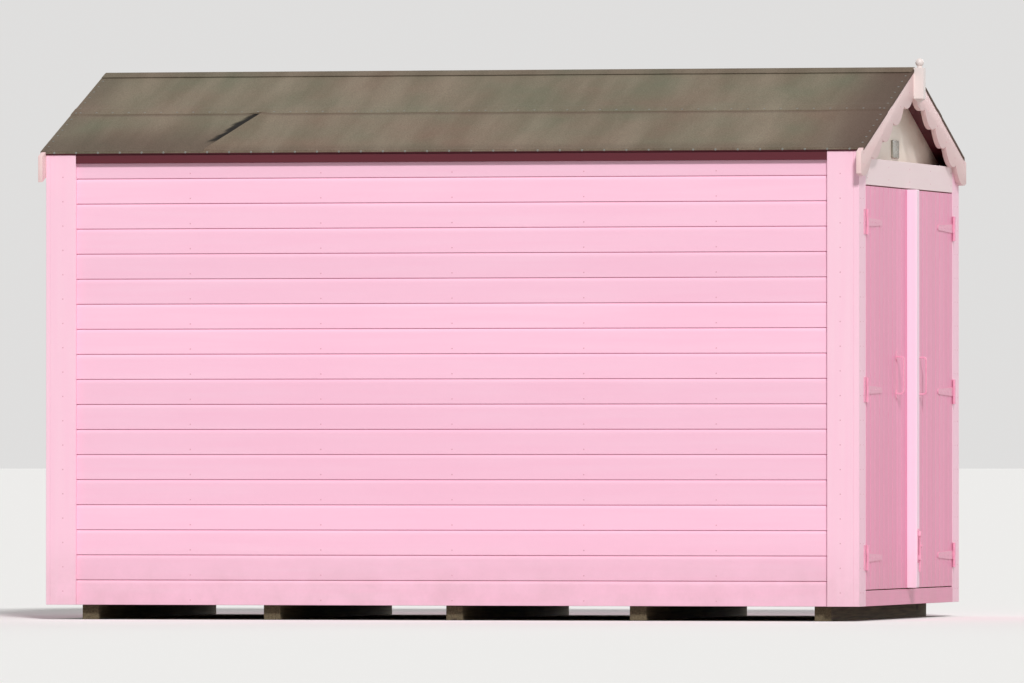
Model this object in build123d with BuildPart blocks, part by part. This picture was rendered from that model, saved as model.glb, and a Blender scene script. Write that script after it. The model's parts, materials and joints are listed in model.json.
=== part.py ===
"""A timber beach hut: boarded walls on a frame, a felted pitched roof, scalloped
bargeboards with a finial, and a pair of outward opening doors on strap hinges.

Millimetres. X runs across the hut, Y from the front (-Y) to the back, Z up from the ground.
"""
import os
from math import cos, radians, sin, sqrt, tan

from build123d import *

# Body of the hut
body_width = 2130  # over the side boarding
body_length = 3660  # face of the front corner boards to the face of the back boarding
wall_height = 2060  # ground to the underside of the roof boards, at the face of the side boarding
roof_pitch = 19
eave_overhang = 25

# Floor
bearer_height = 65
bearer_width = 75
bearer_count = 5
bearer_inset = 25
bearer_setback = 150
joist_height = 50
joist_width = 45
joist_count = 5
floor_thickness = 18

# Wall frame
frame_depth = 50  # studs, rails and posts, measured through the wall
stud_width = 45
rail_height = 45
side_bays = 6
back_bays = 4
middle_rail_level = 1050

# Boarding and corner boards
boarding_thickness = 20
corner_board_width = 118
corner_board_thickness = 18
front_board_thickness = 25
front_board_width = 143

# Roof
rafter_depth = 50
ridge_board_thickness = 25
ridge_board_height = 100
roof_board_thickness = 16
felt_thickness = 3
felt_lap = 75
felt_lap_place = 590  # lower edge of the upper sheet, across from the ridge
felt_eave_turn = 10
felt_verge_turn = 12
ridge_cap_width = 150
fascia_height = 38

# Bargeboards and finial
barge_thickness = 22
barge_reach = 80  # feet of the bargeboards past the side boarding
barge_neck_depth = 90  # where two scallops meet
scallop_drop = 40
scallop_count = 5
back_barge_thickness = 20
back_barge_depth = 110
back_barge_joint = 2
finial_width = 45
finial_drop = 150
finial_point = 16
finial_neck_radius = 11
finial_neck_height = 8
finial_ball_radius = 19
finial_fit = 0.5

# Front opening and gable
door_drop = 155  # top of the doors below the top of the side walls
head_height = 75
head_lap = 10
jamb_lap = 15
threshold_depth = 40
threshold_height = 18
head_board_height = 116
gable_frame_depth = 50  # sloping boards of the gable frame, measured square off the roof
gable_frame_end = 45
gable_panel_thickness = 20
plaque_width = 140
plaque_height = 80
plaque_thickness = 8
plaque_rise = 180  # middle of the plaque above the top of the doors
plaque_corner = 10

# Door leaves
leaf_gap = 5  # round each leaf, and behind it
meeting_gap = 6
leaf_thickness = 20
ledge_height = 95
ledge_thickness = 20
ledge_end_gap = 30
ledge_jamb_gap = 20
ledge_count = 3
ledge_foot = 92  # foot of the leaf to the lower edge of the lowest ledge
ledge_crown = 110  # upper edge of the highest ledge to the top of the leaf
brace_width = 90
brace_inset = 60
brace_joint = 0.5
meeting_batten_width = 60
meeting_batten_depth = 45
meeting_batten_chamfer = 4

# Strap hinges, one level with each ledge
strap_length = 330
strap_root_width = 40
strap_tip_width = 24
hinge_plate_thickness = 3
flange_height = 110
flange_width = 42
knuckle_radius = 7
knuckle_gap = 0.6
pin_radius = 3
pin_fit = 0.3
hinge_face_gap = 0.3
flange_clearance = 1.5

# Pull handles and foot bolt
handle_level = 1080
handle_height = 170
handle_reach = 38
handle_width = 16
handle_thickness = 7
handle_bend = 16
handle_foot_height = 44
handle_foot_width = 26
handle_foot_thickness = 3
left_handle_place = 290
right_handle_place = 200
bolt_plate_width = 34
bolt_plate_height = 150
bolt_plate_thickness = 2.5
bolt_plate_corner = 6
bolt_level = 250
bolt_radius = 5
bolt_length = 165
bolt_throw = 40
bolt_guide_height = 22
bolt_guide_width = 18
bolt_guide_cover = 1.5
bolt_clearance = 0.5
bolt_knob_radius = 4
bolt_knob_reach = 6

# Lines that the pieces share
pitch = radians(roof_pitch)
slope = tan(pitch)
half_body = body_width / 2
half_frame = half_body - boarding_thickness
half_room = half_frame - frame_depth
half_corner = half_body + corner_board_thickness
half_eave = half_body + eave_overhang
half_barge = half_body + barge_reach
frame_length = body_length - front_board_thickness - boarding_thickness
front_reach = front_board_thickness + barge_thickness + finial_width
back_reach = boarding_thickness + corner_board_thickness + back_barge_thickness + felt_thickness
frame_front = -(frame_length + back_reach - front_reach) / 2
frame_back = frame_front + frame_length
front_face = frame_front - front_board_thickness
back_face = frame_back + boarding_thickness
roof_back = back_face + corner_board_thickness
barge_face = front_face - barge_thickness
back_barge_face = roof_back + back_barge_thickness

joist_top = bearer_height + joist_height
floor_top = joist_top + floor_thickness
sole_top = floor_top + rail_height
door_top = wall_height - door_drop
head_underside = door_top - head_lap
gable_bottom = door_top + leaf_gap

front_board_edge = half_corner - front_board_width
leaf_edge = front_board_edge - leaf_gap
jamb_face = leaf_edge - jamb_lap
leaf_bottom = floor_top + leaf_gap
leaf_back = frame_front - leaf_gap
leaf_face = leaf_back - leaf_thickness
hinge_line = leaf_edge + leaf_gap / 2
hinge_depth = leaf_face - hinge_face_gap - knuckle_radius


def roof_line(x, rise=0):
    """Height at a distance x from the ridge, rise mm square off the roof boards' underside."""
    return wall_height + (half_body - abs(x)) * slope + rise / cos(pitch)


plate_underside = roof_line(half_frame, -rafter_depth) - rail_height
roof_top = roof_board_thickness
felt_top = roof_top + felt_thickness


def spread(first, last, count):
    """Evenly spaced places from first to last, both included."""
    return [first + (last - first) * place / (count - 1) for place in range(count)]


frame_places = spread(frame_front + stud_width / 2, frame_back - stud_width / 2, side_bays + 1)


def keep(piece, name):
    """Label a finished piece and write it to its own file."""
    piece.part.label = name
    export_step(piece.part, f"parts/{name}.step")


def mirrored(piece):
    """The same piece on the other side of the ridge line."""
    with BuildPart() as twin:
        mirror(piece.part, about=Plane.YZ)
    return twin


def along_hut(outline, front, back):
    """A piece whose section across the hut is the outline, from front to back."""
    with BuildPart() as piece:
        with BuildSketch(Plane.XZ.offset(-back)):
            with BuildLine():
                Polyline(*outline, close=True)
            make_face()
        extrude(amount=back - front)
    return piece


def roof_strip(inner, outer, low, high):
    """Section of a strip on the roof's slope, cut plumb at both ends."""
    return [
        (inner, roof_line(inner, low)),
        (outer, roof_line(outer, low)),
        (outer, roof_line(outer, high)),
        (inner, roof_line(inner, high)),
    ]


def wall_strip(inner, outer, bottom, top_rise=0):
    """Section of an upright piece whose top is cut to the roof's slope."""
    return [
        (inner, bottom),
        (outer, bottom),
        (outer, roof_line(outer, top_rise)),
        (inner, roof_line(inner, top_rise)),
    ]


os.makedirs("parts", exist_ok=True)

# Floor: bearers across the hut, joists along it, boards on top
with BuildPart() as floor_bearers:
    with BuildSketch():
        for y in spread(frame_front + bearer_setback, frame_back - bearer_setback, bearer_count):
            with Locations((0, y)):
                Rectangle(2 * (half_frame - bearer_inset), bearer_width)
    extrude(amount=bearer_height)
keep(floor_bearers, "floor_bearers")

with BuildPart() as floor_joists:
    with BuildSketch(Plane.XY.offset(bearer_height)):
        for x in spread(joist_width / 2 - half_frame, half_frame - joist_width / 2, joist_count):
            with Locations((x, (frame_front + frame_back) / 2)):
                Rectangle(joist_width, frame_length)
    extrude(amount=joist_height)
keep(floor_joists, "floor_joists")

with BuildPart() as floor_boards:
    with BuildSketch(Plane.XY.offset(joist_top)):
        with Locations((0, (frame_front + frame_back) / 2)):
            Rectangle(2 * half_frame, frame_length)
    extrude(amount=floor_thickness)
keep(floor_boards, "floor_boards")

# Side walls: boarding outside, studs between sole plate and top plate, short middle rails
left_boarding = along_hut(
    wall_strip(-half_body, -half_frame, bearer_height), frame_front, frame_back
)
keep(left_boarding, "left_wall_boarding")
keep(mirrored(left_boarding), "right_wall_boarding")

with BuildPart() as left_studs:
    with BuildSketch(Plane.XY.offset(sole_top)):
        for y in frame_places[1:]:
            with Locations((-(half_frame + half_room) / 2, y)):
                Rectangle(frame_depth, stud_width)
    extrude(amount=plate_underside - sole_top)
keep(left_studs, "left_wall_studs")
keep(mirrored(left_studs), "right_wall_studs")

with BuildPart() as left_rails:
    with BuildSketch(Plane.XY.offset(floor_top)):
        with Locations((-(half_frame + half_room) / 2, (frame_front + frame_back) / 2)):
            Rectangle(frame_depth, frame_length)
    extrude(amount=rail_height)
    with BuildSketch(Plane.XY.offset(middle_rail_level)):
        bay_starts = [frame_front + frame_depth] + [y + stud_width / 2 for y in frame_places[1:-1]]
        bay_ends = [y - stud_width / 2 for y in frame_places[1:]]
        for start, end in zip(bay_starts, bay_ends):
            with Locations((-(half_frame + half_room) / 2, (start + end) / 2)):
                Rectangle(frame_depth, end - start)
    extrude(amount=rail_height)
    with BuildSketch(Plane.XZ.offset(-frame_back)):
        with BuildLine():
            Polyline(
                *wall_strip(-half_frame, -half_room, plate_underside, -rafter_depth), close=True
            )
        make_face()
    extrude(amount=frame_length)
keep(left_rails, "left_wall_rails")
keep(mirrored(left_rails), "right_wall_rails")

# Back wall: boarding up to the roof, studs and rails between the side walls
back_boarding = along_hut(
    [
        (-half_body, bearer_height),
        (half_body, bearer_height),
        (half_body, roof_line(half_body)),
        (0, roof_line(0)),
        (-half_body, roof_line(half_body)),
    ],
    frame_back,
    back_face,
)
keep(back_boarding, "back_wall_boarding")

back_frame_middle = frame_back - frame_depth / 2
back_stud_places = spread(stud_width / 2 - half_room, half_room - stud_width / 2, back_bays + 1)
back_rail_underside = plate_underside - rail_height

with BuildPart() as back_studs:
    with BuildSketch(Plane.XY.offset(sole_top)):
        for x in back_stud_places:
            with Locations((x, back_frame_middle)):
                Rectangle(stud_width, frame_depth)
    extrude(amount=back_rail_underside - sole_top)
keep(back_studs, "back_wall_studs")

with BuildPart() as back_rails:
    for level in (floor_top, back_rail_underside):
        with BuildSketch(Plane.XY.offset(level)):
            with Locations((0, back_frame_middle)):
                Rectangle(2 * half_room, frame_depth)
        extrude(amount=rail_height)
    with BuildSketch(Plane.XY.offset(middle_rail_level)):
        for left, right in zip(back_stud_places, back_stud_places[1:]):
            with Locations(((left + right) / 2, back_frame_middle)):
                Rectangle(right - left - stud_width, frame_depth)
    extrude(amount=rail_height)
keep(back_rails, "back_wall_rails")

# Front frame round the doorway
post_middle = frame_front + frame_depth / 2
with BuildPart() as corner_posts:
    with BuildSketch(Plane.XY.offset(sole_top)):
        for side in (-1, 1):
            with Locations((side * (half_frame + half_room) / 2, post_middle)):
                Rectangle(frame_depth, frame_depth)
    extrude(amount=plate_underside - sole_top)
keep(corner_posts, "front_corner_posts")

with BuildPart() as door_jambs:
    with BuildSketch(Plane.XY.offset(floor_top)):
        for side in (-1, 1):
            with Locations((side * (half_room + jamb_face) / 2, post_middle)):
                Rectangle(half_room - jamb_face, frame_depth)
    extrude(amount=head_underside - floor_top)
keep(door_jambs, "door_jambs")

with BuildPart() as door_head:
    with BuildSketch(Plane.XY.offset(head_underside)):
        with Locations((0, post_middle)):
            Rectangle(2 * half_room, frame_depth)
    extrude(amount=head_height)
keep(door_head, "door_head")

with BuildPart() as threshold:
    with BuildSketch(Plane.YZ.offset(-jamb_face)):
        with BuildLine():
            Polyline(
                (frame_front, floor_top),
                (frame_front, floor_top + threshold_height),
                (frame_front + threshold_depth / 2, floor_top + threshold_height),
                (frame_front + threshold_depth, floor_top + threshold_height / 3),
                (frame_front + threshold_depth, floor_top),
                close=True,
            )
        make_face()
    extrude(amount=2 * jamb_face)
keep(threshold, "door_threshold")

with BuildPart() as front_sill:
    with BuildSketch(Plane.XY.offset(bearer_height)):
        with Locations((0, (front_face + frame_front) / 2)):
            Rectangle(2 * front_board_edge, front_board_thickness)
    extrude(amount=floor_top - bearer_height)
keep(front_sill, "front_sill_board")

# Gable: a board frame flush with the corner boards, and a panel behind the first rafters
head_board_top = gable_bottom + head_board_height
gable_opening_edge = front_board_edge - gable_frame_end
with BuildPart() as gable_frame:
    with BuildSketch(Plane.XZ.offset(-frame_front)):
        with BuildLine():
            Polyline(
                (-front_board_edge, gable_bottom),
                (front_board_edge, gable_bottom),
                (front_board_edge, roof_line(front_board_edge)),
                (0, roof_line(0)),
                (-front_board_edge, roof_line(front_board_edge)),
                close=True,
            )
        make_face()
        with BuildSketch(mode=Mode.SUBTRACT):
            with BuildLine():
                Polyline(
                    (-gable_opening_edge, head_board_top),
                    (gable_opening_edge, head_board_top),
                    (gable_opening_edge, roof_line(gable_opening_edge, -gable_frame_depth)),
                    (0, roof_line(0, -gable_frame_depth)),
                    (-gable_opening_edge, roof_line(gable_opening_edge, -gable_frame_depth)),
                    close=True,
                )
            make_face()
    extrude(amount=front_board_thickness)
keep(gable_frame, "front_gable_frame")

half_ridge = ridge_board_thickness / 2
ridge_underside = roof_line(half_ridge) - ridge_board_height
panel_face = frame_front + stud_width
gable_panel = along_hut(
    [
        (-half_room, head_underside + head_height),
        (half_room, head_underside + head_height),
        (half_room, roof_line(half_room)),
        (half_ridge, roof_line(half_ridge)),
        (half_ridge, ridge_underside),
        (-half_ridge, ridge_underside),
        (-half_ridge, roof_line(half_ridge)),
        (-half_room, roof_line(half_room)),
    ],
    panel_face,
    panel_face + gable_panel_thickness,
)
keep(gable_panel, "front_gable_panel")

with BuildPart() as plaque:
    with BuildSketch(Plane.XZ.offset(-panel_face)):
        with Locations((0, door_top + plaque_rise)):
            RectangleRounded(plaque_width, plaque_height, plaque_corner)
    extrude(amount=plaque_thickness)
    chamfer(plaque.faces().sort_by(Axis.Y)[0].edges(), length=plaque_thickness / 4)
keep(plaque, "gable_plaque")

# Corner boards, their tops cut to the slope of the roof
front_corner_boards = along_hut(
    wall_strip(-half_corner, -front_board_edge, bearer_height), front_face, frame_front
)
with BuildPart() as front_boards:
    add(front_corner_boards.part)
    mirror(front_corner_boards.part, about=Plane.YZ)
keep(front_boards, "front_corner_boards")

side_section = wall_strip(-half_corner, -half_body, bearer_height)
with BuildPart() as side_boards:
    for end in (frame_front + corner_board_width, back_face):
        board = along_hut(side_section, end - corner_board_width, end)
        add(board.part)
        mirror(board.part, about=Plane.YZ)
keep(side_boards, "side_corner_boards")

back_board = along_hut(
    wall_strip(-half_corner, corner_board_width - half_corner, bearer_height), back_face, roof_back
)
with BuildPart() as back_boards:
    add(back_board.part)
    mirror(back_board.part, about=Plane.YZ)
keep(back_boards, "back_corner_boards")

# Roof frame
ridge_board = along_hut(
    [
        (-half_ridge, ridge_underside),
        (half_ridge, ridge_underside),
        (half_ridge, roof_line(half_ridge)),
        (0, roof_line(0)),
        (-half_ridge, roof_line(half_ridge)),
    ],
    frame_front,
    frame_back,
)
keep(ridge_board, "ridge_board")

with BuildPart() as rafters:
    for y in frame_places:
        rafter = along_hut(
            roof_strip(half_ridge, half_frame, -rafter_depth, 0),
            y - stud_width / 2,
            y + stud_width / 2,
        )
        add(rafter.part)
        mirror(rafter.part, about=Plane.YZ)
keep(rafters, "rafters")

left_roof = along_hut(roof_strip(-half_eave, 0, 0, roof_top), front_face, roof_back)
keep(left_roof, "left_roof_boards")
keep(mirrored(left_roof), "right_roof_boards")

left_fascia = along_hut(
    wall_strip(-half_corner, -half_body, roof_line(half_corner) - fascia_height),
    frame_front + corner_board_width,
    back_face - corner_board_width,
)
with BuildPart() as eave_fascias:
    add(left_fascia.part)
    mirror(left_fascia.part, about=Plane.YZ)
keep(eave_fascias, "eave_fascias")

# Felt: two sheets a slope, the upper lapped over the lower, turned down at eave and verges
felt_edge = half_eave + felt_thickness
lap_start = felt_lap_place - felt_lap * cos(pitch)
with BuildPart() as left_felt:
    with BuildSketch(Plane.XZ.offset(-back_barge_face)):
        with BuildLine():
            Polyline(
                (0, roof_line(0, roof_top)),
                (0, roof_line(0, felt_top)),
                (-lap_start, roof_line(lap_start, felt_top)),
                (-lap_start, roof_line(lap_start, felt_top + felt_thickness)),
                (-felt_lap_place, roof_line(felt_lap_place, felt_top + felt_thickness)),
                (-felt_lap_place, roof_line(felt_lap_place, felt_top)),
                (-felt_edge, roof_line(felt_edge, felt_top)),
                (-felt_edge, roof_line(felt_edge, roof_top)),
                close=True,
            )
        make_face()
    extrude(amount=back_barge_face - barge_face)
    with BuildSketch(Plane.XZ.offset(-roof_back)):
        with BuildLine():
            Polyline(
                (-felt_edge, roof_line(felt_edge, roof_top)),
                (-felt_edge, roof_line(half_eave, roof_top) - felt_eave_turn),
                (-half_eave, roof_line(half_eave, roof_top) - felt_eave_turn),
                (-half_eave, roof_line(half_eave, roof_top)),
                close=True,
            )
        make_face()
    extrude(amount=roof_back - front_face)
    verge_start = finial_width / 2 + finial_fit
    for verge_back in (barge_face, back_barge_face + felt_thickness):
        with BuildSketch(Plane.XZ.offset(-verge_back)):
            with BuildLine():
                Polyline(
                    *roof_strip(-felt_edge, -verge_start, roof_top - felt_verge_turn, felt_top),
                    close=True,
                )
            make_face()
        extrude(amount=felt_thickness)
keep(left_felt, "left_roof_felt")
keep(mirrored(left_felt), "right_roof_felt")

half_cap = ridge_cap_width / 2
ridge_cap = along_hut(
    [
        (-half_cap, roof_line(half_cap, felt_top)),
        (0, roof_line(0, felt_top)),
        (half_cap, roof_line(half_cap, felt_top)),
        (half_cap, roof_line(half_cap, felt_top + felt_thickness)),
        (0, roof_line(0, felt_top + felt_thickness)),
        (-half_cap, roof_line(half_cap, felt_top + felt_thickness)),
    ],
    barge_face,
    back_barge_face,
)
keep(ridge_cap, "ridge_capping")

# Front bargeboards: a row of scallops along the lower edge, from the foot up to the ridge
with BuildPart() as left_barge:
    with BuildSketch(Plane.XZ.offset(-front_face)):
        neck = roof_top - barge_neck_depth
        necks = [(-x, roof_line(x, neck)) for x in spread(half_barge, 0, scallop_count + 1)]
        with BuildLine():
            Polyline(
                necks[-1],
                (0, roof_line(0, roof_top)),
                (-half_barge, roof_line(half_barge, roof_top)),
                necks[0],
            )
            for (x1, z1), (x2, z2) in zip(necks, necks[1:]):
                lowest = (
                    (x1 + x2) / 2 + scallop_drop * sin(pitch),
                    (z1 + z2) / 2 - scallop_drop * cos(pitch),
                )
                ThreePointArc((x1, z1), lowest, (x2, z2))
        make_face()
    extrude(amount=barge_thickness)
keep(left_barge, "left_bargeboard")
keep(mirrored(left_barge), "right_bargeboard")

back_barge_board = along_hut(
    roof_strip(-half_barge, -back_barge_joint / 2, roof_top - back_barge_depth, roof_top),
    roof_back,
    back_barge_face,
)
with BuildPart() as back_barges:
    add(back_barge_board.part)
    mirror(back_barge_board.part, about=Plane.YZ)
keep(back_barges, "back_bargeboards")

# Finial: a square post over the bargeboards' joint, pointed below, turned neck and ball above
finial_middle = barge_face - finial_width / 2
finial_top = roof_line(0, felt_top)
with BuildPart() as finial:
    with BuildSketch(Plane.XY.offset(roof_line(0, roof_top) - finial_drop)):
        with Locations((0, finial_middle)):
            Rectangle(finial_width, finial_width)
    extrude(amount=finial_top - roof_line(0, roof_top) + finial_drop)
    chamfer(finial.faces().sort_by(Axis.Z)[0].edges(), length=finial_point)
    neck_top = finial_top + finial_neck_height
    ball_middle = neck_top + sqrt(finial_ball_radius**2 - finial_neck_radius**2)
    with BuildSketch(Plane.XZ.offset(-finial_middle)):
        with BuildLine():
            Polyline(
                (0, ball_middle + finial_ball_radius),
                (0, finial_top),
                (finial_neck_radius, finial_top),
                (finial_neck_radius, neck_top),
            )
            ThreePointArc(
                (finial_neck_radius, neck_top),
                (finial_ball_radius, ball_middle),
                (0, ball_middle + finial_ball_radius),
            )
        make_face()
    revolve(axis=Axis((0, finial_middle, 0), (0, 0, 1)))
keep(finial, "finial")

# Door leaves, ledged and braced behind their boards
meeting_edge = meeting_gap / 2
with BuildPart() as left_leaf:
    with BuildSketch(Plane.XY.offset(leaf_bottom)):
        with Locations((-(leaf_edge + meeting_edge) / 2, (leaf_face + leaf_back) / 2)):
            Rectangle(leaf_edge - meeting_edge, leaf_thickness)
    extrude(amount=door_top - leaf_bottom)
keep(left_leaf, "left_door_boards")
keep(mirrored(left_leaf), "right_door_boards")

ledge_outer = jamb_face - ledge_jamb_gap
ledge_inner = meeting_edge + ledge_end_gap
brace_foot = ledge_outer - brace_inset
brace_head = ledge_inner + brace_inset
highest_ledge = door_top - ledge_crown - ledge_height
ledge_levels = spread(leaf_bottom + ledge_foot, highest_ledge, ledge_count)
with BuildPart() as left_bracing:
    with BuildSketch(Plane.XZ.offset(-leaf_back - ledge_thickness)):
        for level in ledge_levels:
            with Locations((-(ledge_outer + ledge_inner) / 2, level + ledge_height / 2)):
                Rectangle(ledge_outer - ledge_inner, ledge_height)
        for lower, upper in zip(ledge_levels, ledge_levels[1:]):
            low = lower + ledge_height + brace_joint
            high = upper - brace_joint
            with BuildLine():
                Polyline(
                    (-brace_foot, low),
                    (brace_width - brace_foot, low),
                    (-brace_head, high),
                    (-brace_head - brace_width, high),
                    close=True,
                )
            make_face()
    extrude(amount=ledge_thickness)
keep(left_bracing, "left_door_ledges")
keep(mirrored(left_bracing), "right_door_ledges")

batten_middle = -(meeting_edge + meeting_batten_width / 2)
batten_face = leaf_face - meeting_batten_depth
with BuildPart() as meeting_batten:
    with BuildSketch(Plane.XY.offset(leaf_bottom)):
        with Locations((batten_middle, leaf_face - meeting_batten_depth / 2)):
            Rectangle(meeting_batten_width, meeting_batten_depth)
    extrude(amount=door_top - leaf_bottom)
    front_edges = meeting_batten.faces().sort_by(Axis.Y)[0].edges()
    chamfer(front_edges, length=meeting_batten_chamfer)
keep(meeting_batten, "meeting_batten")

# Strap hinges: a tapered strap on the leaf, a flange and pin on the corner board
hinge_middles = [level + ledge_height / 2 for level in ledge_levels]
with BuildPart() as left_straps:
    for level in hinge_middles:
        with BuildSketch(Plane.XZ.offset(-leaf_face)):
            tip_start = strap_length - strap_tip_width / 2 - hinge_line
            with BuildLine():
                Polyline(
                    (tip_start, level - strap_tip_width / 2),
                    (-hinge_line, level - strap_root_width / 2),
                    (-hinge_line, level + strap_root_width / 2),
                    (tip_start, level + strap_tip_width / 2),
                )
                ThreePointArc(
                    (tip_start, level + strap_tip_width / 2),
                    (strap_length - hinge_line, level),
                    (tip_start, level - strap_tip_width / 2),
                )
            make_face()
        extrude(amount=hinge_plate_thickness)
        with BuildSketch(Plane.XY.offset(level - strap_root_width / 2)):
            with Locations((-hinge_line, hinge_depth)):
                Circle(knuckle_radius)
        extrude(amount=strap_root_width)
        with BuildSketch(Plane.XY.offset(level - strap_root_width / 2)):
            with Locations((-hinge_line, hinge_depth)):
                Circle(pin_radius + pin_fit)
        extrude(amount=strap_root_width, mode=Mode.SUBTRACT)
keep(left_straps, "left_hinge_straps")
keep(mirrored(left_straps), "right_hinge_straps")

flange_inner = hinge_line + knuckle_radius + flange_clearance
knuckle_start = strap_root_width / 2 + knuckle_gap
knuckle_height = flange_height / 2 - knuckle_start
with BuildPart() as left_flanges:
    for level in hinge_middles:
        with BuildSketch(Plane.XZ.offset(-front_face)):
            with Locations((-(flange_inner + hinge_line + flange_width) / 2, level)):
                Rectangle(hinge_line + flange_width - flange_inner, flange_height)
            for side in (-1, 1):
                tab_middle = level + side * (knuckle_start + knuckle_height / 2)
                with Locations((-(flange_inner + hinge_line) / 2, tab_middle)):
                    Rectangle(flange_inner - hinge_line, knuckle_height)
        extrude(amount=hinge_plate_thickness)
        for knuckle_foot in (level - flange_height / 2, level + knuckle_start):
            with BuildSketch(Plane.XY.offset(knuckle_foot)):
                with Locations((-hinge_line, hinge_depth)):
                    Circle(knuckle_radius)
            extrude(amount=knuckle_height)
        with BuildSketch(Plane.XY.offset(level - flange_height / 2)):
            with Locations((-hinge_line, hinge_depth)):
                Circle(pin_radius)
        extrude(amount=flange_height)
with BuildPart() as flanges:
    add(left_flanges.part)
    mirror(left_flanges.part, about=Plane.YZ)
keep(flanges, "hinge_flanges")


# Pull handles: a flat bar bent round to the leaf, on a rounded foot plate at each end
def pull_handle(place):
    """A pull handle at a distance along X from the middle of the doorway."""
    bar_ends = handle_level - handle_height / 2, handle_level + handle_height / 2
    grip_reach = handle_reach - handle_thickness
    with BuildPart() as handle:
        with BuildSketch(Plane.YZ.offset(place - handle_width / 2)):
            with Locations((leaf_face - handle_reach / 2, handle_level)):
                Rectangle(handle_reach, handle_height)
            fillet(vertices().group_by(Axis.X)[0], radius=handle_bend)
            with BuildSketch(mode=Mode.SUBTRACT):
                with Locations((leaf_face - grip_reach / 2, handle_level)):
                    Rectangle(grip_reach, handle_height - 2 * handle_thickness)
                fillet(vertices().group_by(Axis.X)[0], radius=handle_bend - handle_thickness)
        extrude(amount=handle_width)
        with BuildSketch(Plane.XZ.offset(-leaf_face)):
            for end in bar_ends:
                with Locations((place, end)):
                    SlotOverall(handle_foot_height, handle_foot_width, rotation=90)
        extrude(amount=handle_foot_thickness)
    return handle


keep(pull_handle(right_handle_place), "right_pull_handle")

# Foot bolt on the meeting batten: plate, two guides, and a round bolt with its knob
bolt_axis = batten_face - bolt_plate_thickness - bolt_clearance - bolt_radius
guide_depth = bolt_plate_thickness + bolt_clearance + 2 * bolt_radius + bolt_guide_cover
with BuildPart() as left_hardware:
    add(pull_handle(-left_handle_place).part)
    with BuildSketch(Plane.XZ.offset(-batten_face)):
        with Locations((batten_middle, bolt_level + bolt_plate_height / 2)):
            RectangleRounded(bolt_plate_width, bolt_plate_height, bolt_plate_corner)
    extrude(amount=bolt_plate_thickness)
    for level in (bolt_level + bolt_guide_height, bolt_level + bolt_plate_height - bolt_guide_height):
        with BuildSketch(Plane.XZ.offset(-batten_face)):
            with Locations((batten_middle, level)):
                Rectangle(bolt_guide_width, bolt_guide_height)
        extrude(amount=guide_depth)
    with BuildSketch(Plane.XY.offset(bolt_level - bolt_throw)):
        with Locations((batten_middle, bolt_axis)):
            Circle(bolt_radius)
    extrude(amount=bolt_length)
    with BuildSketch(Plane.XZ.offset(-bolt_axis)):
        with Locations((batten_middle, bolt_level + bolt_plate_height / 2)):
            Circle(bolt_knob_radius)
    extrude(amount=bolt_radius + bolt_knob_reach)
keep(left_hardware, "left_handle_and_bolt")
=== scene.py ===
import json
from math import atan, ceil, cos, hypot, pi, radians, sin, tan

import bmesh
import bpy
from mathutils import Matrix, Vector, noise


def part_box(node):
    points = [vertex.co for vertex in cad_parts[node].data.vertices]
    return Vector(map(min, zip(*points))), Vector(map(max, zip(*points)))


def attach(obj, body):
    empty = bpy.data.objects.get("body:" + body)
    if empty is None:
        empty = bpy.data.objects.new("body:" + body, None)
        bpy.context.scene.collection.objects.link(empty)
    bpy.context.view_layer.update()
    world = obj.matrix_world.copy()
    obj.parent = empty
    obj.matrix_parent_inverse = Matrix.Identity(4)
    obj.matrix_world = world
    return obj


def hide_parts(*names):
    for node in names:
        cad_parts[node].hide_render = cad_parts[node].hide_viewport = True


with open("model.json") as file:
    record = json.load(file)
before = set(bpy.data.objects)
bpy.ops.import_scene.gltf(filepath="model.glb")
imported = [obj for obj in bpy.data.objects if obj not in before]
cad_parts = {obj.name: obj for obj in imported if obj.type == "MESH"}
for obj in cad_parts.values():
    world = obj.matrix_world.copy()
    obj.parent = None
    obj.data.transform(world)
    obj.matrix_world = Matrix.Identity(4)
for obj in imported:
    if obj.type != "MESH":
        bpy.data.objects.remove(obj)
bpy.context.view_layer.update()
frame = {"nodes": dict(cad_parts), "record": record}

# The beach hut's looks: single boards, felt, nails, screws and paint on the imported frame.
# Lengths are metres. +Z is up, the doors face -Y and the ridge runs along Y.

MM = 0.001
SIDES = (("left", -1), ("right", 1))

# Directions in the frame, and places read from it
RIGHT = Vector((1, 0, 0))
BACK = Vector((0, 1, 0))
UP = Vector((0, 0, 1))
(_, frame_front, floor_underside), (_, frame_back, floor_top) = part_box("floor_boards")
(half_frame, _, boards_foot), (half_body, _, _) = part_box("right_wall_boarding")
_, (_, back_face, ridge_underside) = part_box("back_wall_boarding")
(_, leaf_face, leaf_foot), (_, leaf_back, leaf_top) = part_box("left_door_boards")
(meeting_edge, _, _), (leaf_edge, _, _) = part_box("right_door_boards")
_, (half_corner, _, _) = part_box("side_corner_boards")
(_, barge_face, _), (half_barge, _, _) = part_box("right_bargeboard")
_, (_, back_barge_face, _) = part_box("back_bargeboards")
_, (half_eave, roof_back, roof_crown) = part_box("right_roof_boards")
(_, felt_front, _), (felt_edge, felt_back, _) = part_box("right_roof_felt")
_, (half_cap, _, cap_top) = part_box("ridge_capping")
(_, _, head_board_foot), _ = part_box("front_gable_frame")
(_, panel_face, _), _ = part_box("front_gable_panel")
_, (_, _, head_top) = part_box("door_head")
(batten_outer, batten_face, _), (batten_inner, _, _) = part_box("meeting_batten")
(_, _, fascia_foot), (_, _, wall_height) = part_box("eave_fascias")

slope = (ridge_underside - wall_height) / half_body
pitch = atan(slope)
roof_thickness = (roof_crown - ridge_underside) * cos(pitch)
felt_thickness = felt_edge - half_eave


def roof_line(x, rise=0.0):
    """Height of the roof boards' underside at x, raised square to the slope by rise."""
    return wall_height + (half_body - abs(x)) * slope + rise / cos(pitch)


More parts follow.
